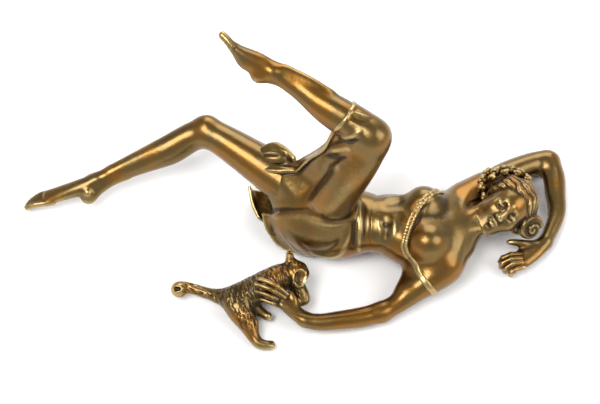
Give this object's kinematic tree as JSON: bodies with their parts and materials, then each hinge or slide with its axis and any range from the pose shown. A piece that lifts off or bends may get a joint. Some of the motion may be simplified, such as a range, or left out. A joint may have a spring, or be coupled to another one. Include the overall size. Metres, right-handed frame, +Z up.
{
  "type": "reclining figure statuette",
  "caption": "Small patinated bronze statuette of a woman in a slip dress lying on her back, one knee raised, her hand on a kitten.",
  "frame": {"origin": "centre of the filed rest pad under the hips", "axes": "+X from the hips to the head, +Y to the figure's right-hand side, +Z up"},
  "size_m": [0.2557, 0.111, 0.0928],
  "materials": {
    "patinated_bronze": "lacquered brown patina over cast bronze, rubbed to a golden brown on the high spots and dark in the hollows",
    "pin_bronze": "bare drawn bronze rod"
  },
  "bodies": {
    "root": {"torso": "patinated_bronze", "skirt": "patinated_bronze", "head": "patinated_bronze", "right_arm": "patinated_bronze", "left_arm": "patinated_bronze", "right_leg": "patinated_bronze", "left_leg": "patinated_bronze", "kitten": "patinated_bronze", "bodice_band": "patinated_bronze", "neck_pin": "pin_bronze", "right_shoulder_pin": "pin_bronze", "left_shoulder_pin": "pin_bronze", "right_thigh_pin": "pin_bronze", "left_calf_pin": "pin_bronze", "kitten_pin": "pin_bronze", "waist_pins": "pin_bronze", "core_plugs": "pin_bronze"}
  },
  "joints": []
}
